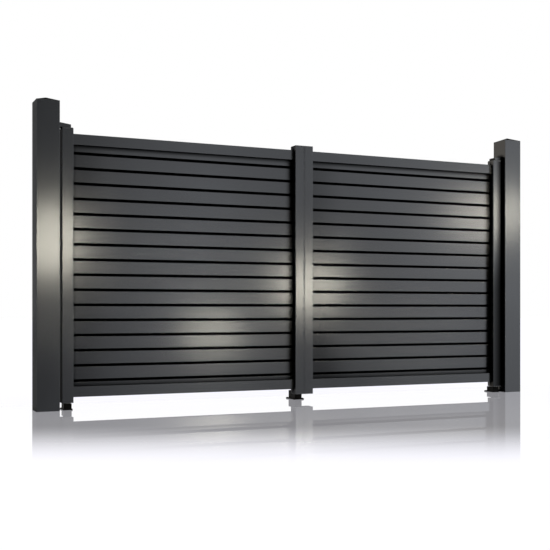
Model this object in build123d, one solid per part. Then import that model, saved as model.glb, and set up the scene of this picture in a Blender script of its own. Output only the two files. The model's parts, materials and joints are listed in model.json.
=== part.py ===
from build123d import *
import os

# An aluminium swing gate for a driveway: two slatted leaves between two square posts.
# X runs from the left post to the right one, Y from the front to the back, and Z is up.
# The origin is the middle of the left post's foot, at ground level. Sizes are in mm.
# The left half is drawn, and the right half is its mirror image.

# Posts
post_side = 150
post_wall = 4
post_corner = 2
post_rise = 165         # post above the top of the leaves
opening = 3540          # clear width between the two posts

# Post caps
cap_rim = 4             # flat edge below the pyramid
cap_rise = 26
cap_tip = 6             # side of the small flat at the top
cap_wall = 3
skirt_length = 30       # skirt that holds the cap inside the post
skirt_wall = 3
slide_fit = 0.3         # clearance of a piece that slides into a tube

# Post feet, inside the posts
foot_plate = 12
foot_sleeve = 160
foot_wall = 6
anchor_spacing = 90
anchor_radius = 7

# Leaves
hinge_gap = 20          # between post and leaf
meeting_gap = 6         # between the two leaves
leaf_setback = 27       # leaf behind the front of the posts
ground_gap = 47
leaf_height = 1796
stile_depth = 75
stile_wall = 3
stile_corner = 3
hinge_stile_width = 75
meeting_stile_width = 67
end_plate = 3           # plates that close the ends of the stiles
channel_depth = 14      # channels that hold the ends of the slats
channel_wall = 2.6
plug_overlap = 8        # plugs of the channels behind the ends of the rails

# Cover strips on the front of the meeting stiles
cover_depth = 8
cover_wall = 2

# Rails
rail_height = 70
rail_depth = 45
rail_wall = 2.5
rail_corner = 1.5
rail_setback = 28       # rails behind the front of the stiles
top_rail_drop = 30      # top rail below the top of the stiles
bottom_rail_lift = 35   # bottom rail above the foot of the stiles
rail_channel = 12       # channels that hold the cut edges of the slats

# Slats, hollow boards that interlock
slat_pitch = 100
slat_setback = 20       # slats behind the front of the rails
slat_thickness = 22
slat_wall = 1.6
groove_height = 16      # dark groove between two faces
slat_round = 5          # rounded upper edge of a face
tongue_thickness = 5
tongue_length = 12
slat_fit = 0.4          # clearance round a tongue and in the channels
back_joint = 0.8        # fine joint at the back of two slats
end_play = 2            # room for a slat to grow with heat
bottom_face = 30.5      # face of the cut slat above the bottom rail
least_top_face = 20     # smallest face of the cut slat below the top rail
seat_fit = 0.3

# Pivots
pin_radius = 10
running_fit = 0.05
pin_reach = 34          # length of pin inside a stile
pin_seat = 12           # length of pin inside the top bracket
pin_socket = 26         # length of pin inside the floor pivot
bush_wall = 4
boss_wall = 5
boss_length = 45
pivot_gap = 5           # between stile and bracket or floor pivot
pad_inset = 2           # square pad on top of the hinge stile, inside its edges
pad_clearance = 0.5     # pad below the bracket
thrust_collar = 26      # radius of the collar that carries the leaf on the floor pivot

# Top brackets
bracket_overhang = 21.5  # bracket beyond the pivot
bracket_depth = 74
bracket_root = 30       # height at the post
bracket_tip = 19        # height at the free end
bracket_corner = 2.5
bracket_edge = 1.5      # rounding of the upper edges

# Floor castings
flange_thickness = 7
flange_corner = 8
casting_flare = 3       # rounding between body and flange
casting_round = 1.5     # rounding of the upper edges
screw_radius = 4

# Floor pivots
pivot_body_inner = 28.5  # body on the side of the gateway, from the pin
pivot_body_outer = 21.5  # body on the side of the post
pivot_body_front = 24.5  # body ahead of the pin
pivot_body_back = 61.5   # body behind the pin
pivot_body_corner = 4
pivot_flange_side = 6.5  # flange beside the body
pivot_flange_front = 5
pivot_flange_back = 29
pivot_screw_spacing = 40

# Ground stop behind the meeting stiles
stop_clearance = 5      # between leaf and buffer
stop_height = 60
stop_width = 54
stop_length = 129
stop_corner = 12
stop_flange_side = 15   # flange beside the body
stop_flange_front = 5
stop_flange_back = 11
stop_screw_edge = 7     # screws inside the side edges of the flange
stop_screw_front = 17   # front screws behind the front of the flange
stop_screw_back = 14    # back screws before the back of the flange
buffer_thickness = 4
buffer_width = 28
buffer_height = 14
buffer_drop = 4         # buffer below the top of the stop

# Places that follow from the sizes
post_half = post_side / 2
post_spacing = opening + post_side
gate_middle = post_spacing / 2
leaf_start = post_half + hinge_gap
leaf_end = gate_middle - meeting_gap / 2
stile_front = -post_half + leaf_setback
stile_back = stile_front + stile_depth
stile_foot = ground_gap
stile_top = ground_gap + leaf_height
post_length = stile_top + post_rise
hinge_face = leaf_start + hinge_stile_width
meeting_face = leaf_end - meeting_stile_width
cover_front = stile_front - cover_depth
rail_front = stile_front + rail_setback
rail_back = rail_front + rail_depth
top_rail_top = stile_top - top_rail_drop
top_rail_foot = top_rail_top - rail_height
bottom_rail_foot = stile_foot + bottom_rail_lift
bottom_rail_top = bottom_rail_foot + rail_height
slat_front = rail_front + slat_setback
slat_back = slat_front + slat_thickness
slat_start = hinge_face - channel_depth + end_play
slat_end = meeting_face + channel_depth - end_play
face_height = slat_pitch - groove_height
first_slat = bottom_rail_top + bottom_face + groove_height
slat_count = int((top_rail_foot - least_top_face - first_slat) // slat_pitch)
last_slat = first_slat + slat_count * slat_pitch
pivot_x = leaf_start + hinge_stile_width / 2
pivot_y = stile_front + stile_depth / 2
bush_radius = pin_radius + running_fit + bush_wall
boss_radius = bush_radius + boss_wall
bracket_foot = stile_top + pivot_gap
pivot_body_top = stile_foot - pivot_gap
stop_face = stile_back + stop_clearance + buffer_thickness


def span(x0, x1, y0, y1):
    """A flat rectangle between two corners."""
    return Pos((x0 + x1) / 2, (y0 + y1) / 2) * Rectangle(x1 - x0, y1 - y0)


def block(x0, x1, y0, y1, z0, z1):
    """A plain block between two corners."""
    return Pos(0, 0, z0) * extrude(span(x0, x1, y0, y1), z1 - z0)


def rounded(face, radius):
    """The flat face with its corners rounded."""
    return fillet(face.vertices(), radius)


def upright(radius, z0, z1, x=pivot_x, y=pivot_y):
    """A round bar that stands between two heights, on the pivot unless told otherwise."""
    return Pos(x, y, z0) * extrude(Circle(radius), z1 - z0)


def along_gate(face, x0, x1):
    """A section drawn with Y across and Z up, run along the gate from x0 to x1."""
    return Pos(x0, 0, 0) * extrude(Plane.YZ * face, x1 - x0)


def post():
    """Square hollow post."""
    outside = rounded(Rectangle(post_side, post_side), post_corner)
    bore = post_side - 2 * post_wall
    return extrude(outside - Rectangle(bore, bore), post_length)


def pyramid(side, tip, rise):
    """Low pyramid with a small flat top."""
    return loft([Rectangle(side, side), Pos(0, 0, rise) * Rectangle(tip, tip)])


def post_cap():
    """Cap with a flat rim, a low pyramid and a skirt inside the post."""
    outside = rounded(Rectangle(post_side, post_side), post_corner)
    skirt_side = post_side - 2 * (post_wall + slide_fit)
    hollow_side = skirt_side - 2 * skirt_wall
    rim = extrude(outside, cap_rim)
    roof = Pos(0, 0, cap_rim) * pyramid(post_side - 2 * post_corner, cap_tip, cap_rise)
    skirt = extrude(Rectangle(skirt_side, skirt_side), -skirt_length)
    well = extrude(Rectangle(hollow_side, hollow_side), -skirt_length)
    attic = pyramid(hollow_side, cap_tip, cap_rise)
    ceiling = Pos(0, 0, cap_rim - cap_wall) * attic
    crawl = extrude(Rectangle(hollow_side, hollow_side), cap_rim - cap_wall)
    return Pos(0, 0, post_length) * (rim + roof + skirt - well - crawl - ceiling)


def post_foot():
    """Foot that is anchored to the ground, with a sleeve that the post slides over."""
    side = post_side - 2 * (post_wall + slide_fit)
    hollow = side - 2 * foot_wall
    plate = extrude(Rectangle(side, side), foot_plate)
    sleeve = extrude(Rectangle(side, side) - Rectangle(hollow, hollow), foot_sleeve)
    anchors = GridLocations(anchor_spacing, anchor_spacing, 2, 2) * Cylinder(
        anchor_radius, foot_plate, align=(Align.CENTER, Align.CENTER, Align.MIN)
    )
    return plate + sleeve - anchors


def stile(x0, x1, mouth, inward):
    """Square tube with a channel for the slat ends that opens at mouth."""
    outside = rounded(span(x0, x1, stile_front, stile_back), stile_corner)
    room = span(x0 + stile_wall, x1 - stile_wall, stile_front + stile_wall, stile_back - stile_wall)
    floor = mouth + inward * channel_depth
    floor_wall = floor + inward * channel_wall
    low, high = slat_front - slat_fit, slat_back + slat_fit
    channel = span(min(mouth, floor), max(mouth, floor), low, high)
    lining = span(min(mouth, floor_wall), max(mouth, floor_wall), low - channel_wall, high + channel_wall)
    section = outside - (room - lining) - channel
    return Pos(0, 0, stile_foot + end_plate) * extrude(section, leaf_height - 2 * end_plate)


def plugs(mouth, inward):
    """The upper and the lower plug of a stile's channel, beyond the rails."""
    x0, x1 = sorted([mouth, mouth + inward * (channel_depth - slat_fit)])
    upper = block(x0, x1, slat_front, slat_back, top_rail_top - plug_overlap, stile_top - end_plate)
    lower = block(x0, x1, slat_front, slat_back, stile_foot + end_plate, bottom_rail_foot + plug_overlap)
    return upper, lower


def pivot_end(z_face, inward, plug):
    """One end of the hinge stile: a plate with a plug, and a round boss that holds the bush."""
    outline = rounded(span(leaf_start, hinge_face, stile_front, stile_back), stile_corner)
    plate = Pos(0, 0, z_face) * extrude(outline, inward * end_plate)
    boss_ends = sorted([z_face, z_face + inward * boss_length])
    return plate + plug + upright(boss_radius, *boss_ends) - upright(bush_radius, *boss_ends)


def pivot_blocks():
    """The two ends of the hinge stile, with a square pad on the upper one."""
    upper_plug, lower_plug = plugs(hinge_face, -1)
    pad_height = pivot_gap - pad_clearance
    outline = span(leaf_start + pad_inset, hinge_face - pad_inset, stile_front + pad_inset, stile_back - pad_inset)
    pad = Pos(0, 0, stile_top) * extrude(rounded(outline, stile_corner), pad_height)
    pad -= upright(bush_radius, stile_top, stile_top + pad_height)
    return Compound(children=[pivot_end(stile_top, -1, upper_plug) + pad, pivot_end(stile_foot, 1, lower_plug)])


def bush(z_face, inward, collar_radius):
    """Bush in one end of the hinge stile, with its outer part wider or as wide as its sleeve."""
    inner_end = z_face + inward * boss_length
    outer_end = z_face - inward * (pivot_gap - seat_fit)
    sleeve = upright(bush_radius, *sorted([inner_end, z_face]))
    collar = upright(collar_radius, *sorted([z_face, outer_end]))
    return sleeve + collar - upright(pin_radius + running_fit, *sorted([inner_end, outer_end]))


def bushes():
    """The plain bush at the top, and the one at the foot whose collar carries the leaf."""
    return Compound(children=[bush(stile_top, -1, bush_radius), bush(stile_foot, 1, thrust_collar)])


def meeting_caps():
    """Plates that close both ends of the meeting stile and its cover, each with a plug."""
    outline = rounded(span(meeting_face, leaf_end, cover_front, stile_back), stile_corner)
    plate = extrude(outline, end_plate)
    upper_plug, lower_plug = plugs(meeting_face, 1)
    upper = Pos(0, 0, stile_top - end_plate) * plate + upper_plug
    lower = Pos(0, 0, stile_foot) * plate + lower_plug
    return Compound(children=[upper, lower])


def meeting_cover():
    """Shallow cover strip clipped to the front of the meeting stile."""
    shell = span(meeting_face, leaf_end, cover_front, stile_front)
    front_corners = shell.vertices().sort_by(Axis.Y)[:2]
    shell = fillet(front_corners, stile_corner)
    hollow = span(meeting_face + cover_wall, leaf_end - cover_wall, cover_front + cover_wall, stile_front)
    return Pos(0, 0, stile_foot + end_plate) * extrude(shell - hollow, leaf_height - 2 * end_plate)


def rail(z_low, z_mouth, inward):
    """Hollow rail with a channel for the cut edge of a slat, open at z_mouth."""
    outside = rounded(span(rail_front, rail_back, z_low, z_low + rail_height), rail_corner)
    room = span(rail_front + rail_wall, rail_back - rail_wall, z_low + rail_wall, z_low + rail_height - rail_wall)
    floor = z_mouth + inward * rail_channel
    floor_wall = floor + inward * rail_wall
    low, high = slat_front - slat_fit, slat_back + slat_fit
    channel = span(low, high, min(z_mouth, floor), max(z_mouth, floor))
    lining = span(low - rail_wall, high + rail_wall, min(z_mouth, floor_wall), max(z_mouth, floor_wall))
    return along_gate(outside - (room - lining) - channel, hinge_face, meeting_face)


def slat_section():
    """Section of one slat: Y is 0 at its face, and Z is 0 at its lower edge."""
    wall = slat_wall
    tongue_back = slat_thickness - wall - slat_fit
    tongue_front = tongue_back - tongue_thickness
    socket_front = tongue_front - slat_fit
    socket_back = tongue_back + slat_fit
    socket_top = tongue_length + slat_fit
    neck_top = slat_pitch - back_joint
    body = Polyline(
        (slat_round, face_height),
        (tongue_front, face_height),
        (tongue_front, slat_pitch + tongue_length),
        (tongue_back, slat_pitch + tongue_length),
        (tongue_back, neck_top),
        (slat_thickness, neck_top),
        (slat_thickness, 0),
        (socket_back, 0),
        (socket_back, socket_top),
        (socket_front, socket_top),
        (socket_front, 0),
        (0, 0),
        (0, face_height - slat_round),
    )
    shoulder = RadiusArc(body @ 1, body @ 0, slat_round)
    outline = make_face([body, shoulder])
    chamber = Polyline(
        (wall, wall),
        (wall, face_height - slat_round),
        (slat_round, face_height - wall),
        (tongue_front + wall, face_height - wall),
        (tongue_front + wall, neck_top - wall),
        (slat_thickness - wall, neck_top - wall),
        (slat_thickness - wall, socket_top + wall),
        (socket_front - wall, socket_top + wall),
        (socket_front - wall, wall),
        close=True,
    )
    return outline - make_face(chamber)


def slat(z_edge, cut_low=None, cut_high=None):
    """One slat with its lower edge at z_edge, ripped to a height where it meets a rail."""
    section = Pos(slat_front, z_edge) * slat_section()
    if cut_low is not None:
        section = section - span(slat_front - 1, slat_back + 1, z_edge - 1, cut_low)
    if cut_high is not None:
        section = section - span(slat_front - 1, slat_back + 1, cut_high, z_edge + 2 * slat_pitch)
    return along_gate(section, slat_start, slat_end)


def slats():
    """The full slats of a leaf, each hooked over the tongue of the one below."""
    return Compound(children=[slat(first_slat + row * slat_pitch) for row in range(slat_count)])


def top_bracket():
    """Cast bracket on the post that holds the top pin over the leaf."""
    x0, x1 = post_half, pivot_x + bracket_overhang
    side = Polyline(
        (x0, bracket_foot),
        (x1, bracket_foot),
        (x1, bracket_foot + bracket_tip),
        (x0, bracket_foot + bracket_root),
        close=True,
    )
    y0 = pivot_y - bracket_depth / 2
    body = extrude(Plane.XZ.offset(-y0) * make_face(side), -bracket_depth)
    body = fillet(body.edges().filter_by(Axis.Z).group_by(Axis.X)[-1], bracket_corner)
    slope = body.faces().sort_by(Axis.Z)[-1]
    rim = slope.edges().filter_by(lambda edge: edge.center().X > x0 + bracket_corner)
    body = fillet(rim, bracket_edge)
    return body - upright(pin_radius, bracket_foot, bracket_foot + pin_seat)


def top_pin():
    """Steel pin fixed in the top bracket."""
    return upright(pin_radius, stile_top - pin_reach, bracket_foot + pin_seat)


def floor_casting(body, height, flange):
    """A block on a flange, both drawn from above, with a flare at its root and a rounded top."""
    casting = extrude(flange, flange_thickness) + extrude(body, height)
    casting = fillet(casting.faces().sort_by(Axis.Z)[-1].edges(), casting_round)
    reach = body.bounding_box()
    root = [
        edge
        for edge in casting.edges().filter_by_position(Axis.Z, flange_thickness, flange_thickness)
        if reach.min.X <= edge.center().X <= reach.max.X and reach.min.Y <= edge.center().Y <= reach.max.Y
    ]
    return fillet(root, casting_flare)


def floor_pivot():
    """Cast floor pivot: a flange on the ground and a block that carries the pin."""
    x0, x1 = pivot_x - pivot_body_outer, pivot_x + pivot_body_inner
    y0, y1 = pivot_y - pivot_body_front, pivot_y + pivot_body_back
    body = rounded(span(x0, x1, y0, y1), pivot_body_corner)
    flange_x0, flange_x1 = x0 - pivot_flange_side, x1 + pivot_flange_side
    flange = rounded(span(flange_x0, flange_x1, y0 - pivot_flange_front, y1 + pivot_flange_back), flange_corner)
    casting = floor_casting(body, pivot_body_top, flange)
    for side in (-1, 1):
        x = (x0 + x1) / 2 + side * pivot_screw_spacing / 2
        casting -= upright(screw_radius, 0, flange_thickness, x, y1 + pivot_flange_back / 2)
    return casting - upright(pin_radius, pivot_body_top - pin_socket, pivot_body_top)


def floor_pin():
    """Steel pin fixed in the floor pivot."""
    return upright(pin_radius, pivot_body_top - pin_socket, stile_foot + pin_reach)


def centre_stop():
    """Ground stop that stands behind both meeting stiles."""
    half = stop_width / 2
    y0, y1 = stop_face, stop_face + stop_length
    body = rounded(span(gate_middle - half, gate_middle + half, y0, y1), stop_corner)
    flange_half = half + stop_flange_side
    flange_y0, flange_y1 = y0 - stop_flange_front, y1 + stop_flange_back
    flange = rounded(span(gate_middle - flange_half, gate_middle + flange_half, flange_y0, flange_y1), flange_corner)
    casting = floor_casting(body, stop_height, flange)
    screw_side = flange_half - stop_screw_edge
    for x in (gate_middle - screw_side, gate_middle + screw_side):
        for y in (flange_y0 + stop_screw_front, flange_y1 - stop_screw_back):
            casting -= upright(screw_radius, 0, flange_thickness, x, y)
    return casting


def stop_buffer():
    """Rubber buffer on the face of the ground stop."""
    half = buffer_width / 2
    top = stop_height - buffer_drop
    y0 = stop_face - buffer_thickness
    return block(gate_middle - half, gate_middle + half, y0, stop_face, top - buffer_height, top)


def left_half():
    """Every piece of the left half of the gate, by the name of the piece."""
    bottom_seat = bottom_rail_top - rail_channel + seat_fit
    top_seat = top_rail_foot + rail_channel - seat_fit
    return {
        "post": post(),
        "post_cap": post_cap(),
        "post_foot": post_foot(),
        "top_bracket": top_bracket(),
        "top_pin": top_pin(),
        "floor_pivot": floor_pivot(),
        "floor_pin": floor_pin(),
        "hinge_stile": stile(leaf_start, hinge_face, hinge_face, -1),
        "meeting_stile": stile(meeting_face, leaf_end, meeting_face, 1),
        "meeting_cover": meeting_cover(),
        "meeting_caps": meeting_caps(),
        "pivot_blocks": pivot_blocks(),
        "bushes": bushes(),
        "top_rail": rail(top_rail_foot, top_rail_foot, 1),
        "bottom_rail": rail(bottom_rail_foot, bottom_rail_top, -1),
        "slats": slats(),
        "top_slat": slat(last_slat, cut_high=top_seat),
        "bottom_slat": slat(first_slat - slat_pitch, cut_low=bottom_seat),
    }


def save(name, shape):
    """Write one piece to its own file."""
    export_step(shape, os.path.join("parts", name + ".step"))


os.makedirs("parts", exist_ok=True)
middle_plane = Plane.YZ.offset(gate_middle)
for piece, shape in left_half().items():
    save("left_" + piece, shape)
    save("right_" + piece, mirror(shape, about=middle_plane))
save("centre_stop", centre_stop())
save("stop_buffer", stop_buffer())
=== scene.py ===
import json
import math

import bpy
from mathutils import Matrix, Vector


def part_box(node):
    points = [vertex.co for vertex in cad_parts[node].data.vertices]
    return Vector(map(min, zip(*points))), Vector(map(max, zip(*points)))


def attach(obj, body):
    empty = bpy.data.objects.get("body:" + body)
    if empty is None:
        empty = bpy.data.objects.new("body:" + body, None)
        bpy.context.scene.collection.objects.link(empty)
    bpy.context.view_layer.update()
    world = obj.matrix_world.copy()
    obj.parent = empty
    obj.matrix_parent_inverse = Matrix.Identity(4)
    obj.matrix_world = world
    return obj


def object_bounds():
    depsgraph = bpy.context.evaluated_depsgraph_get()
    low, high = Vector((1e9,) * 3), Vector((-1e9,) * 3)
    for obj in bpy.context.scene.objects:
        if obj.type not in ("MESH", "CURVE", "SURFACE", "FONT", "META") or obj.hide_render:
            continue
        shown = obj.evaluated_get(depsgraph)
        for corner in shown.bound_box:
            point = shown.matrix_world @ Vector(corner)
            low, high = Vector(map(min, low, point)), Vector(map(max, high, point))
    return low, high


# Sizes are in metres, in the frame of the gate: X to the right post, Y to the back, Z up.
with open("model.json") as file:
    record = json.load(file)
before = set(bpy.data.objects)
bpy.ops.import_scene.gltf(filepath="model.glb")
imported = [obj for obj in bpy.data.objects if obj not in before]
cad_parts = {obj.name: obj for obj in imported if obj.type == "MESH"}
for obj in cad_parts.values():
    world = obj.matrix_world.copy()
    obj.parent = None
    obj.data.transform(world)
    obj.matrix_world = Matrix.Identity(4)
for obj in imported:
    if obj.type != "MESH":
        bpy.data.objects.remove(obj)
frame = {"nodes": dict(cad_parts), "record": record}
CAD_BOX = [list(corner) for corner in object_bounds()]

SIDES = ("left", "right")
MM_PER_METRE = 1000
WHITE = (1.0, 1.0, 1.0, 1.0)
BLACK = (0.0, 0.0, 0.0, 1.0)

# Camera
IMAGE_SIDE = 550
SENSOR = 36.0
FOCAL_PIXELS = 979.0
HORIZON_ROW = 310.1
CAMERA_PLACE = (-1.2673, -6.4246, 0.6541)
CAMERA_TURN = 24.326


def make_camera():
    """Camera at the photograph's place: level, turned to the right, its frame raised by a shift."""
    lens = bpy.data.cameras.new("camera")
    lens.sensor_width = SENSOR
    lens.lens = FOCAL_PIXELS * SENSOR / IMAGE_SIDE
    lens.shift_y = (HORIZON_ROW - IMAGE_SIDE / 2) / IMAGE_SIDE
    camera = bpy.data.objects.new("camera", lens)
    camera.location = CAMERA_PLACE
    camera.rotation_euler = (math.radians(90), 0, -math.radians(CAMERA_TURN))
    bpy.context.scene.collection.objects.link(camera)
    bpy.context.scene.camera = camera


# Nodes
SHADE_RAYS = 8


class Nodes:
    """A short way to add and link the nodes of one node tree."""

    def __init__(self, tree):
        self.tree = tree

    def add(self, kind, inputs=None, **settings):
        """A new node. Each of its inputs is given a value or linked to another node's output."""
        node = self.tree.nodes.new(kind)
        for name, value in settings.items():
            setattr(node, name, value)
        for key, value in (inputs or {}).items():
            if isinstance(value, bpy.types.NodeSocket):
                self.tree.links.new(value, node.inputs[key])
            else:
                node.inputs[key].default_value = value
        return node

    def math(self, operation, a, b=0.0, clamp=False):
        """A sum, product or other simple function of one or two numbers."""
        return self.add("ShaderNodeMath", {0: a, 1: b}, operation=operation, use_clamp=clamp).outputs[0]

    def product(self, first, *others):
        """All the numbers multiplied."""
        for other in others:
            first = self.math("MULTIPLY", first, other)
        return first

    def away(self, value, middle):
        """How far a value is from a middle."""
        return self.math("ABSOLUTE", self.math("SUBTRACT", value, middle))

    def without(self, share):
        """What a share leaves of 1."""
        return self.math("SUBTRACT", 1.0, share)

    def axis(self, place, letter):
        """One coordinate of a place or a direction."""
        return self.add("ShaderNodeSeparateXYZ", {"Vector": place}).outputs[letter]

    def fade(self, value, low, high, out_low=0.0, out_high=1.0):
        """A smooth change from out_low at low to out_high at high."""
        ends = {"Value": value, "From Min": low, "From Max": high, "To Min": out_low, "To Max": out_high}
        return self.add("ShaderNodeMapRange", ends, interpolation_type="SMOOTHSTEP").outputs["Result"]

    def mix(self, share, a, b, kind="RGBA"):
        """The colour or number a where share is 0, and b where it is 1."""
        return self.add("ShaderNodeMix", {"Factor": share, "A": a, "B": b}, data_type=kind).outputs["Result"]

    def levels(self, value, stops, span):
        """A smooth run of grey levels, each at its own place between 0 and span."""
        ramp = self.add("ShaderNodeValToRGB", {0: self.math("DIVIDE", value, span)})
        ramp.color_ramp.interpolation = "EASE"
        steps = ramp.color_ramp.elements
        for number, (place, level) in enumerate(stops):
            step = steps[number] if number < len(steps) else steps.new(place / span)
            step.position = place / span
            step.color = (level, level, level, 1.0)
        return ramp.outputs["Color"]

    def noise(self, place, scale, detail):
        """Cloudy noise, finer with a larger scale."""
        cloud = {"Vector": place, "Scale": scale, "Detail": detail}
        return self.add("ShaderNodeTexNoise", cloud).outputs["Fac"]

    def relief(self, height, strength, depth, **under):
        """Bump from a height, alone or on top of the one under it."""
        bump = {"Height": height, "Strength": strength, "Distance": depth, **under}
        return self.add("ShaderNodeBump", bump).outputs[0]

    def nearness(self, reach, **facing):
        """1 on an open face, and less beside anything within reach."""
        near = {"Distance": reach, **facing}
        return self.add("ShaderNodeAmbientOcclusion", near, samples=SHADE_RAYS).outputs["AO"]


def new_material(name):
    """An empty material with the helper for its nodes."""
    material = bpy.data.materials.new(name)
    material.use_nodes = True
    material.node_tree.nodes.clear()
    return material, Nodes(material.node_tree)


def toned(colour, factor):
    """A colour made paler or deeper."""
    return [min(1.0, channel * factor) for channel in colour] + [1.0]


# Painted shade in the coat's colour: each is 1 where the coat keeps its colour, and 0 where the painted
# shade makes it black
NOOK_LEAN = (0.9, 0.0, 0.0)
NOOK_WIDE = 0.07
NOOK_OPEN = 0.8
NOOK_REACH = 0.035
NOOK_POWER = 1.6
GAP_REACH = 0.03
GAP_POWER = 4.0
END_DIP_AT = 0.04
END_DIP_WIDE = 0.26
END_DIP_DEEP = 0.25
FOOT_DIP_AT = 0.13
FOOT_DIP_WIDE = 0.32
FOOT_DIP_DEEP = 0.36
FOOT_DIP_LOW = 0.3
FOOT_DIP_HIGH = 0.6
SLAT_BACK = 0.022
SLAT_BACK_NEAR = 0.001
SLAT_BACK_SURE = 0.0005
GROOVE_EDGE = 0.0004
GROOVE_DEPTH = 0.004
GROOVE_DARK = 0.02
RAIL_SHADE_REACH = 0.03
RAIL_SHADE_DARK = 0.35
FOOT_SHADE = 0.74
STILE_POWER = 1.3
STILE_LOW = 0.8
STILE_HIGH = 1.35
STILE_FOOT = 0.45
STILE_TOP = 1.75


def gap_shade(nodes, place):
    """Painted shade in the narrow gaps between two upright bars, on their side faces."""
    normal = nodes.add("ShaderNodeNewGeometry").outputs["Normal"]
    sideways = nodes.math("ABSOLUTE", nodes.axis(normal, "X"))
    return nodes.math("POWER", nodes.nearness(GAP_REACH), nodes.product(sideways, GAP_POWER))


def nook_shade(nodes, place):
    """Painted shade beside what stands proud of a face, most on the side of the light."""
    normal = nodes.add("ShaderNodeNewGeometry").outputs["Normal"]
    leaning = nodes.add("ShaderNodeVectorMath", {0: normal, 1: NOOK_LEAN}, operation="ADD").outputs["Vector"]
    facing = nodes.add("ShaderNodeVectorMath", {0: leaning}, operation="NORMALIZE").outputs["Vector"]
    wide = nodes.fade(nodes.nearness(NOOK_WIDE, Normal=facing), 0.0, NOOK_OPEN)
    close = nodes.math("POWER", nodes.nearness(NOOK_REACH), NOOK_POWER)
    return nodes.product(wide, close)


def end_shade(nodes, place):
    """Painted shade, a little darker near the left end of each leaf, and darker at the foot of the right
    one's.
    """
    along = nodes.axis(place, "X")
    starts = [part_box(side + "_slats")[0][0] for side in SIDES]
    dips = []
    for start in starts:
        away = nodes.away(along, start + END_DIP_AT)
        dips.append(nodes.fade(away, 0.0, END_DIP_WIDE, 1.0 - END_DIP_DEEP, 1.0))
    away = nodes.away(along, starts[-1] + FOOT_DIP_AT)
    across = nodes.fade(away, 0.0, FOOT_DIP_WIDE, FOOT_DIP_DEEP, 0.0)
    upward = nodes.fade(nodes.axis(place, "Z"), FOOT_DIP_LOW, FOOT_DIP_HIGH, 1.0, 0.0)
    return nodes.product(*dips, nodes.without(nodes.product(across, upward)))


def groove_shade(nodes, place):
    """Full colour on the faces of the slats, and a painted shade that is nearly black in the recess between
    two faces.
    """
    depth = nodes.axis(place, "Y")
    face = nodes.fade(depth, GROOVE_EDGE, GROOVE_DEPTH, 1.0, GROOVE_DARK)
    back = nodes.fade(depth, SLAT_BACK - SLAT_BACK_NEAR, SLAT_BACK - SLAT_BACK_SURE)
    return nodes.math("MAXIMUM", face, back)


def rail_shade(nodes, place):
    """Painted shadow of the top rail on the cut slat under it, darkest close to the rail."""
    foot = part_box("left_top_rail")[0][2]
    return nodes.fade(nodes.axis(place, "Z"), foot - RAIL_SHADE_REACH, foot, 1.0, RAIL_SHADE_DARK)


def foot_shade(nodes, place):
    """The same painted shade all over the cut slat on the bottom rail."""
    return FOOT_SHADE


def stile_shade(nodes, place):
    """Painted shade across the right hinge stile, darker towards the post, and darker in its lower half."""
    low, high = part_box("right_hinge_stile")
    to_post = nodes.math("SUBTRACT", high[0], nodes.axis(place, "X"))
    share = nodes.math("DIVIDE", to_post, high[0] - low[0], clamp=True)
    across = nodes.math("POWER", share, STILE_POWER)
    upward = nodes.fade(nodes.axis(place, "Z"), STILE_LOW, STILE_HIGH, STILE_FOOT, STILE_TOP)
    return nodes.math("MULTIPLY", across, upward, clamp=True)


# Painted shade that every slat's coat takes in its nooks, its recesses and near the left ends
BOARD_SHADES = (nook_shade, groove_shade, end_shade)

# Finishes
COAT = (0.074, 0.077, 0.083)
COAT_PALE = 1.12
COAT_DEEP = 0.9
COAT_LINE_MIX = {1: 0.6, 2: 0.1}
COAT_ROUGHNESS = 0.22
COAT_POLISH = {"From Min": 0.3, "From Max": 0.7}
COAT_SMOOTH = 0.92
COAT_ROUGH = 1.1
COAT_EDGE = (0.25, 0.25, 0.25, 1.0)
# Fineness of the drawn lines and how much longer than wide they are
BROAD_LINES = (90.0, 120.0)
FINE_LINES = (700.0, 400.0)
LINE_DETAIL = 4.0
# Scale and detail of noise
COAT_CLOUD = (3.0, 2.0)
COAT_GRAIN = (2600.0, 1.0)
CAST_CLOUD = (25.0, 3.0)
# Strength and depth of each relief
GRAIN_RELIEF = (0.25, 0.00002)
FINE_RELIEF = (0.5, 0.00001)
BROAD_RELIEF = (1.0, 0.00004)
CAST_PALE = 1.3
CAST_DEEP = 0.8
CAST_GRAIN_DETAIL = 3.0
CAST_SMOOTH = 0.85
CAST_ROUGH = 1.15
CAST_STRENGTH = 0.6


def drawn_lines(nodes, place, along, fineness, stretch):
    """Faint lines that a die leaves along an extruded bar: noise that is long one way."""
    scale = [fineness] * 3
    scale["XYZ".index(along)] = fineness / stretch
    stretched = nodes.add("ShaderNodeMapping", {"Vector": place, "Scale": scale})
    return nodes.noise(stretched.outputs[0], 1.0, LINE_DETAIL)


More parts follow.
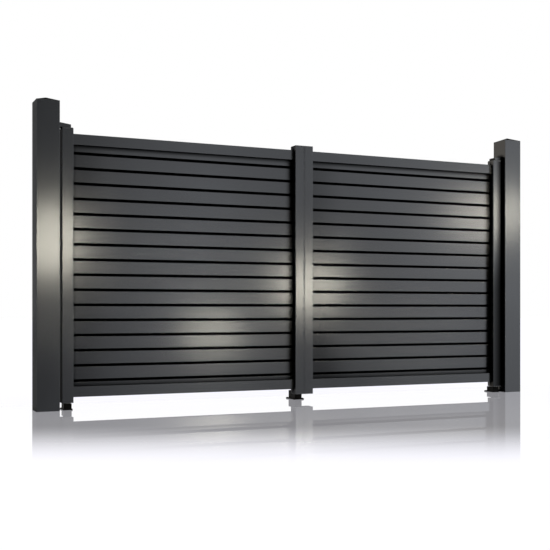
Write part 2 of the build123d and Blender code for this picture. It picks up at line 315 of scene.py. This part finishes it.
def anthracite(name, along, shades=(), roughness=COAT_ROUGHNESS):
    """Dark metallic coat on aluminium, with faint lines along the bar, a fine grain, and any painted shade
    it is given.
    """
    material, nodes = new_material(name)
    place = nodes.add("ShaderNodeTexCoord").outputs["Object"]
    broad = drawn_lines(nodes, place, along, *BROAD_LINES)
    fine = drawn_lines(nodes, place, along, *FINE_LINES)
    cloud = nodes.noise(place, *COAT_CLOUD)
    grain = nodes.noise(place, *COAT_GRAIN)
    lined = nodes.add("ShaderNodeMath", {0: fine, **COAT_LINE_MIX}, operation="MULTIPLY_ADD").outputs[0]
    colour = nodes.mix(lined, toned(COAT, COAT_DEEP), toned(COAT, COAT_PALE))
    # Painted shade darkens the coat's colour towards black
    if shades:
        shade = nodes.product(*[cause(nodes, place) for cause in shades])
        colour = nodes.mix(shade, BLACK, colour)
    ends = {"To Min": roughness * COAT_SMOOTH, "To Max": roughness * COAT_ROUGH}
    polish = nodes.add("ShaderNodeMapRange", {"Value": cloud, **COAT_POLISH, **ends}).outputs[0]
    tooth = nodes.relief(grain, *GRAIN_RELIEF)
    ridges = nodes.relief(fine, *FINE_RELIEF, Normal=tooth)
    waves = nodes.relief(broad, *BROAD_RELIEF, Normal=ridges)
    look = {
        "Base Color": colour,
        "Metallic": 1.0,
        "Roughness": polish,
        "Specular Tint": COAT_EDGE,
        "Normal": waves,
    }
    surface = nodes.add("ShaderNodeBsdfPrincipled", look).outputs[0]
    nodes.add("ShaderNodeOutputMaterial", {"Surface": surface})
    return material


def moulded(name, tone, roughness, metallic=0.0, grain_size=900.0, relief=0.00006, gloss=0.5):
    """Cast, moulded or turned material with a grain of its own."""
    material, nodes = new_material(name)
    place = nodes.add("ShaderNodeTexCoord").outputs["Object"]
    grain = nodes.noise(place, grain_size, CAST_GRAIN_DETAIL)
    cloud = nodes.noise(place, *CAST_CLOUD)
    ends = {"To Min": roughness * CAST_SMOOTH, "To Max": roughness * CAST_ROUGH}
    look = {
        "Base Color": nodes.mix(cloud, toned(tone, CAST_DEEP), toned(tone, CAST_PALE)),
        "Metallic": metallic,
        "Roughness": nodes.add("ShaderNodeMapRange", {"Value": grain, **ends}).outputs[0],
        "Specular IOR Level": gloss,
        "Normal": nodes.relief(grain, CAST_STRENGTH, relief),
    }
    surface = nodes.add("ShaderNodeBsdfPrincipled", look).outputs[0]
    nodes.add("ShaderNodeOutputMaterial", {"Surface": surface})
    return material


def paint_nodes():
    """Gives every piece of the frame its finish."""
    # Painted shade in the gaps between upright bars, and across the right hinge stile and its bracket
    upright = anthracite("upright_coat", "Z", (gap_shade,))
    shaded = anthracite("shaded_coat", "Z", (gap_shade, stile_shade))
    level = anthracite("rail_coat", "X")
    caps = anthracite("cap_coat", "X", roughness=0.34)
    casting = moulded("black_casting", (0.003, 0.003, 0.003), roughness=0.5, gloss=0.04)
    bare = moulded("mill_aluminium", (0.6, 0.6, 0.61), roughness=0.35, metallic=1.0)
    turned = {"metallic": 1.0, "grain_size": 400.0, "relief": 0.00002}
    steel = moulded("pin_steel", (0.5, 0.5, 0.5), roughness=0.25, **turned)
    plastic = moulded("bush_plastic", (0.02, 0.02, 0.02), roughness=0.5)
    rubber = moulded("buffer_rubber", (0.015, 0.015, 0.015), roughness=0.7)
    finish = {
        "post": upright,
        "post_cap": caps,
        "post_foot": bare,
        "top_bracket": level,
        "top_pin": steel,
        "floor_pivot": casting,
        "floor_pin": steel,
        "hinge_stile": upright,
        "right_hinge_stile": shaded,
        "right_top_bracket": shaded,
        "meeting_stile": upright,
        "meeting_cover": upright,
        "meeting_caps": caps,
        "pivot_blocks": caps,
        "bushes": plastic,
        "top_rail": level,
        "bottom_rail": level,
        # Painted shade on the slats, and more painted shade on the two cut slats by the rails
        "slats": anthracite("slat_coat", "X", BOARD_SHADES),
        "top_slat": anthracite("top_slat_coat", "X", BOARD_SHADES + (rail_shade,)),
        "bottom_slat": anthracite("bottom_slat_coat", "X", BOARD_SHADES + (foot_shade,)),
        "centre_stop": casting,
        "stop_buffer": rubber,
    }
    for name, node in frame["nodes"].items():
        plain_name = name.removeprefix("left_").removeprefix("right_")
        node.data.materials.clear()
        node.data.materials.append(finish.get(name) or finish[plain_name])
    return finish


# Small pieces
def add_piece(name, mesh, body):
    """Puts a finished mesh in the scene as a piece of a body."""
    piece = bpy.data.objects.new(name, mesh)
    bpy.context.scene.collection.objects.link(piece)
    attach(piece, body)


def bar_mesh(name, section, low, high, material):
    """A straight upright bar whose section is a list of x, y corners, anticlockwise from above."""
    count = len(section)
    points = [(x, y, z) for z in (low, high) for x, y in section]
    faces = [tuple(reversed(range(count))), tuple(range(count, 2 * count))]
    for corner in range(count):
        after = (corner + 1) % count
        faces.append((corner, after, count + after, count + corner))
    mesh = bpy.data.meshes.new(name)
    mesh.from_pydata(points, [], faces)
    mesh.materials.append(material)
    return mesh


SEAL_FIT = 0.0003
SEAL_CROWN = 0.0004
SEAL_DEPTH = 0.01
SEAL_ARC = 8


def make_seal(material):
    """Soft lip on the left leaf that fills the slot between the two leaves, flush with the covers."""
    low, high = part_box("left_meeting_caps")
    x0, x1 = high[0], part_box("right_meeting_caps")[0][0] - SEAL_FIT
    section = [(x1, low[1] + SEAL_DEPTH), (x0, low[1] + SEAL_DEPTH)]
    for step in range(SEAL_ARC + 1):
        turn = math.pi * step / SEAL_ARC
        x = (x0 + x1) / 2 - (x1 - x0) / 2 * math.cos(turn)
        section.append((x, low[1] + SEAL_CROWN * (1 - math.sin(turn))))
    seal = bar_mesh("meeting_seal", section, low[2], high[2], material)
    add_piece("meeting_seal", seal, "left_leaf")


HEAD_SIDES = 20
KEY_SIDES = 6


def screw_tree(name, material):
    """Node tree that sets a screw head with a hexagon socket on each point of a mesh."""
    tree = bpy.data.node_groups.new(name, "GeometryNodeTree")
    face = tree.interface
    face.new_socket("Places", in_out="INPUT", socket_type="NodeSocketGeometry")
    for size in ("Radius", "Crown", "Height", "Socket"):
        face.new_socket(size, in_out="INPUT", socket_type="NodeSocketFloat")
    face.new_socket("Screws", in_out="OUTPUT", socket_type="NodeSocketGeometry")
    nodes = Nodes(tree)
    given = nodes.add("NodeGroupInput").outputs
    sizes = {"Radius Bottom": given["Radius"], "Radius Top": given["Crown"], "Depth": given["Height"]}
    head = nodes.add("GeometryNodeMeshCone", {**sizes, "Vertices": HEAD_SIDES}).outputs["Mesh"]
    hexagon = {"Vertices": KEY_SIDES, "Radius": given["Socket"], "Depth": given["Height"]}
    key = nodes.add("GeometryNodeMeshCylinder", hexagon).outputs["Mesh"]
    up = nodes.add("ShaderNodeCombineXYZ", {"Z": given["Height"]}).outputs[0]
    key = nodes.add("GeometryNodeTransform", {"Geometry": key, "Translation": up}).outputs[0]
    cut_head = nodes.add("GeometryNodeMeshBoolean", {"Mesh 1": head, "Mesh 2": key}, operation="DIFFERENCE")
    points = nodes.add("GeometryNodeMeshToPoints", {"Mesh": given["Places"]}).outputs[0]
    placed = {"Points": points, "Instance": cut_head.outputs["Mesh"]}
    heads = nodes.add("GeometryNodeInstanceOnPoints", placed).outputs[0]
    solid = nodes.add("GeometryNodeRealizeInstances", {"Geometry": heads}).outputs[0]
    coated = nodes.add("GeometryNodeSetMaterial", {"Geometry": solid, "Material": material}).outputs[0]
    nodes.add("NodeGroupOutput", {"Screws": coated})
    return tree


def make_screws(name, tree, places, body, sizes):
    """A row of screw heads on one body, baked to a plain mesh."""
    mesh = bpy.data.meshes.new(name + "_places")
    mesh.from_pydata(places, [], [])
    maker = bpy.data.objects.new(name + "_maker", mesh)
    bpy.context.scene.collection.objects.link(maker)
    modifier = maker.modifiers.new("screws", "NODES")
    modifier.node_group = tree
    for socket in tree.interface.items_tree:
        if socket.name in sizes:
            modifier[socket.identifier] = sizes[socket.name]
    ready = maker.evaluated_get(bpy.context.evaluated_depsgraph_get())
    screws = bpy.data.meshes.new_from_object(ready)
    screws.name = name
    bpy.data.objects.remove(maker)
    add_piece(name, screws, body)


def mount_places(name, z):
    """Where the holes of one of the record's bolt patterns come out, at height z."""
    mount = next(each for each in frame["record"]["mounts"] if each["name"] == name)
    x, y = mount["pos_m"][:2]
    half_x = mount["dims"].get("spacing_x_mm", 0) / MM_PER_METRE / 2
    half_y = mount["dims"].get("spacing_y_mm", 0) / MM_PER_METRE / 2
    return sorted({(x + i * half_x, y + j * half_y, z) for i in (-1, 1) for j in (-1, 1)})


FLANGE_TOP = 0.007
BUTTON = {"Radius": 0.0058, "Crown": 0.0038, "Height": 0.0032, "Socket": 0.0021}
COUNTERSUNK = {"Radius": 0.0036, "Crown": 0.0034, "Height": 0.0004, "Socket": 0.0012}
CAP_SCREW_INSET = 0.016


def make_all_screws(material):
    """Screws on the floor castings, and small ones in the end plates of the meeting stiles."""
    tree = screw_tree("screw_heads", material)
    for mount in ("left_pivot_screws", "right_pivot_screws", "stop_screws"):
        make_screws(mount, tree, mount_places(mount, FLANGE_TOP), "posts", BUTTON)
    for side in SIDES:
        low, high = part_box(side + "_meeting_caps")
        middle = (low[0] + high[0]) / 2
        back = high[1] - CAP_SCREW_INSET
        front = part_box(side + "_meeting_stile")[0][1] + CAP_SCREW_INSET
        places = [(middle, y, high[2]) for y in (front, back)]
        make_screws(side + "_cap_screws", tree, places, side + "_leaf", COUNTERSUNK)


# Floor, which mirrors the gate less and less towards the viewer
FLOOR_HALF = 60.0
FLOOR_MATT = (0.2, 0.2, 0.2, 1.0)
FLOOR_TINT = (0.985, 0.98, 1.06, 1.0)
FLOOR_LEVEL = 0.83
FLOOR_MIRRORED = 0.8
MIRROR_WAY = (math.sin(math.radians(CAMERA_TURN)), math.cos(math.radians(CAMERA_TURN)), 0.0)
MIRROR_START = -0.77
MIRROR_END = -2.29
MIRROR_SHARE = 0.755
MIRROR_BEHIND = (0.5, 0.3)
GATE_MIDDLE = sum(corner[0] for corner in CAD_BOX) / 2
MIRROR_HALF = 2.5
MIRROR_EDGE = 0.3
GATE_SEES_MIRROR = 0.95
GATE_MIRROR_TONE = 0.63
# The floor is matt where it is looked at from above
GLOSS_ENDS = 0.74
GLOSS_FULL = 0.83


def make_floor():
    """Pale floor that keeps a soft shadow, and mirrors the foot of the gate in front of it."""
    material, nodes = new_material("floor")
    place = nodes.add("ShaderNodeTexCoord").outputs["Object"]
    path = nodes.add("ShaderNodeLightPath").outputs
    seen = nodes.math("MAXIMUM", path["Is Camera Ray"], nodes.product(path["Is Glossy Ray"], FLOOR_MIRRORED))
    matt = nodes.add("ShaderNodeBsdfDiffuse", {"Color": FLOOR_MATT})
    glow = {"Color": FLOOR_TINT, "Strength": nodes.product(seen, FLOOR_LEVEL)}
    white = nodes.add("ShaderNodeEmission", glow)
    pale = nodes.add("ShaderNodeAddShader", {0: matt.outputs[0], 1: white.outputs[0]})
    to_viewer = nodes.add("ShaderNodeVectorMath", {0: place, 1: MIRROR_WAY}, operation="DOT_PRODUCT")
    near = nodes.fade(to_viewer.outputs["Value"], MIRROR_END, MIRROR_START, 0.0, MIRROR_SHARE)
    before = nodes.fade(nodes.axis(place, "Y"), *MIRROR_BEHIND)
    off_centre = nodes.away(nodes.axis(place, "X"), GATE_MIDDLE)
    beside = nodes.fade(off_centre, MIRROR_HALF, MIRROR_HALF + MIRROR_EDGE, 1.0, 0.0)
    from_gate = nodes.product(path["Is Glossy Ray"], GATE_SEES_MIRROR)
    flat = nodes.add("ShaderNodeLayerWeight", {"Blend": 0.5}).outputs["Facing"]
    low = nodes.fade(flat, GLOSS_ENDS, GLOSS_FULL)
    share = nodes.product(nodes.math("MAXIMUM", nodes.product(near, before, beside), from_gate), low)
    tone = nodes.without(nodes.product(path["Is Glossy Ray"], 1.0 - GATE_MIRROR_TONE))
    gloss = nodes.add("ShaderNodeBsdfGlossy", {"Color": tone, "Roughness": 0.0})
    both = nodes.add("ShaderNodeMixShader", {0: share, 1: pale.outputs[0], 2: gloss.outputs[0]})
    nodes.add("ShaderNodeOutputMaterial", {"Surface": both.outputs[0]})
    mesh = bpy.data.meshes.new("floor")
    h = FLOOR_HALF
    mesh.from_pydata([(-h, -h, 0), (h, -h, 0), (h, h, 0), (-h, h, 0)], [], [(0, 1, 2, 3)])
    mesh.materials.append(material)
    floor = bpy.data.objects.new("floor", mesh)
    bpy.context.scene.collection.objects.link(floor)


# Studio, as the coat mirrors it. Turns are measured from the front of the gate to the right post.
WORLD_WHITE = 1.0
STUDIO_SPAN = 90
STUDIO_LEVELS = (
    (0, 0.1),
    (12, 0.23),
    (15, 0.44),
    (18, 1.36),
    (22, 1.1),
    (26.8, 0.5),
    (30, 1.1),
    (36, 0.93),
    (90, 0.93),
)
STUDIO_TINT = (0.99, 1.0, 1.002, 1.0)
STUDIO_SEAM = (-0.1, 0.1)
LEFT_TURNS = (math.radians(-14), math.radians(4))
LEFT_LEVEL = 0.75
# Brighter and brighter upwards on the far right
LIFT_TURNS = (math.radians(28), math.radians(36))
LIFT = 2.8
# Dark stand low in front
STAND_TURN = math.radians(27)
STAND_WIDE = math.radians(6.5)
STAND_DEEP = 1.0
STAND_HEIGHTS = (0.05, 0.14)
# Broad pale band a little above the horizon
HALO = 0.75
HALO_RISE = math.sin(math.radians(2.2))
HALO_HIGH = math.sin(math.radians(7))
HALO_TURNS = (math.radians(12), math.radians(19))
# Warm wall on the left and behind
FLANK_HALO = 0.6
FLANK_LEVEL = 0.96
FLANK_TINT = (1.12, 1.0, 0.82, 1.0)
FLANK_TINT_AT = (-0.6, -0.3)
# Dark roof
ROOF_HEIGHTS = (math.sin(math.radians(14)), math.sin(math.radians(24)))
ROOF_LEVEL = 0.06


def studio_front(nodes, way, turn, halo):
    """Brightness of the front half of the studio."""
    front = nodes.levels(nodes.math("DEGREES", turn), STUDIO_LEVELS, STUDIO_SPAN)
    front = nodes.math("ADD", front, nodes.fade(turn, *LEFT_TURNS, LEFT_LEVEL, 0.0))
    to_right = nodes.fade(turn, *LIFT_TURNS, 0.0, LIFT)
    lift = nodes.math("ADD", nodes.product(to_right, way["Z"]), 1.0)
    across = nodes.fade(nodes.away(turn, STAND_TURN), 0.0, STAND_WIDE, STAND_DEEP, 0.0)
    upward = nodes.fade(nodes.math("ABSOLUTE", way["Z"]), *STAND_HEIGHTS, 1.0, 0.0)
    stand = nodes.without(nodes.product(across, upward))
    band = nodes.math("ADD", nodes.product(halo, nodes.fade(turn, *HALO_TURNS)), 1.0)
    return nodes.product(front, lift, stand, band)


def studio_back(nodes, way, halo):
    """Brightness of the back half of the studio, which is plain white on the right."""
    band = nodes.math("ADD", nodes.product(halo, FLANK_HALO), 1.0)
    left = nodes.fade(way["X"], *STUDIO_SEAM, 1.0, 0.0)
    return nodes.mix(left, 1.0, nodes.product(band, FLANK_LEVEL), kind="FLOAT")


def make_world():
    """White studio for light, and a shaped one that only the gloss of the coat mirrors."""
    world = bpy.data.worlds.new("studio")
    world.use_nodes = True
    world.node_tree.nodes.clear()
    nodes = Nodes(world.node_tree)
    around = nodes.add("ShaderNodeTexCoord").outputs["Generated"]
    way = nodes.add("ShaderNodeSeparateXYZ", {"Vector": around}).outputs
    turn = nodes.math("ARCTAN2", way["X"], nodes.product(way["Y"], -1.0))
    halo = nodes.fade(nodes.away(way["Z"], HALO_RISE), 0.0, HALO_HIGH, HALO, 0.0)
    behind = nodes.fade(way["Y"], *STUDIO_SEAM)
    front = studio_front(nodes, way, turn, halo)
    level = nodes.mix(behind, front, studio_back(nodes, way, halo), kind="FLOAT")
    strength = nodes.product(level, nodes.fade(way["Z"], *ROOF_HEIGHTS, 1.0, ROOF_LEVEL))
    far_left = nodes.fade(way["X"], *FLANK_TINT_AT, 1.0, 0.0)
    tint = nodes.mix(behind, STUDIO_TINT, nodes.mix(far_left, WHITE, FLANK_TINT))
    mirrored = nodes.add("ShaderNodeBackground", {"Color": tint, "Strength": strength})
    plain = nodes.add("ShaderNodeBackground", {"Color": WHITE, "Strength": WORLD_WHITE})
    glossy = nodes.add("ShaderNodeLightPath").outputs["Is Glossy Ray"]
    mixed = nodes.add("ShaderNodeMixShader", {0: glossy, 1: plain.outputs[0], 2: mirrored.outputs[0]})
    nodes.add("ShaderNodeOutputWorld", {"Surface": mixed.outputs[0]})
    bpy.context.scene.world = world


# Lamps, each standing where its mirror image shows on the front of the gate
GATE_PLANE = -0.03
LAMP_DEPTH = 2.2
LAMP_WARMTH = (1.0, 0.917, 0.72)
# Name, X and Z of the glow, width and height of the lamp, radiance
LAMPS = (
    ("lamp_left", 0.03, 1.10, 0.53, 0.57, 13.0),
    ("lamp_low", 1.16, 0.505, 0.48, 0.34, 8.5),
    ("lamp_middle", 1.91, 0.835, 0.60, 0.52, 11.0),
    ("lamp_right", 3.50, 1.41, 0.80, 0.51, 6.6),
    ("lamp_foot", 0.05, 0.55, 0.45, 0.42, 0.6),
    ("lamp_broad_left", 1.00, 0.95, 1.10, 0.75, 0.27),
    ("lamp_broad_right", 2.78, 0.50, 1.20, 0.90, 0.33),
)


def make_lamp(name, x, z, width, height, radiance):
    """Oval soft lamp in front of the gate that glows at the point x, z of its face."""
    spot = Vector((x, GATE_PLANE, z))
    ray = spot - Vector(CAMERA_PLACE)
    ray.y = -ray.y
    place = spot + ray * (LAMP_DEPTH / abs(ray.y))
    light = bpy.data.lights.new(name, "AREA")
    light.shape = "ELLIPSE"
    light.size = width
    light.size_y = height
    area = math.pi * width * height / 4
    light.energy = radiance * math.pi * area
    light.color = LAMP_WARMTH
    light.use_shadow = False
    light.cycles.use_multiple_importance_sampling = False
    lamp = bpy.data.objects.new(name, light)
    lamp.location = place
    lamp.rotation_euler = (place - spot).to_track_quat("Z", "Y").to_euler()
    lamp.visible_camera = False
    bpy.context.scene.collection.objects.link(lamp)


scene = bpy.context.scene
scene.view_settings.view_transform = "Standard"
make_camera()
make_world()
make_floor()
for lamp in LAMPS:
    make_lamp(*lamp)
finishes = paint_nodes()
make_seal(finishes["meeting_cover"])
make_all_screws(finishes["centre_stop"])
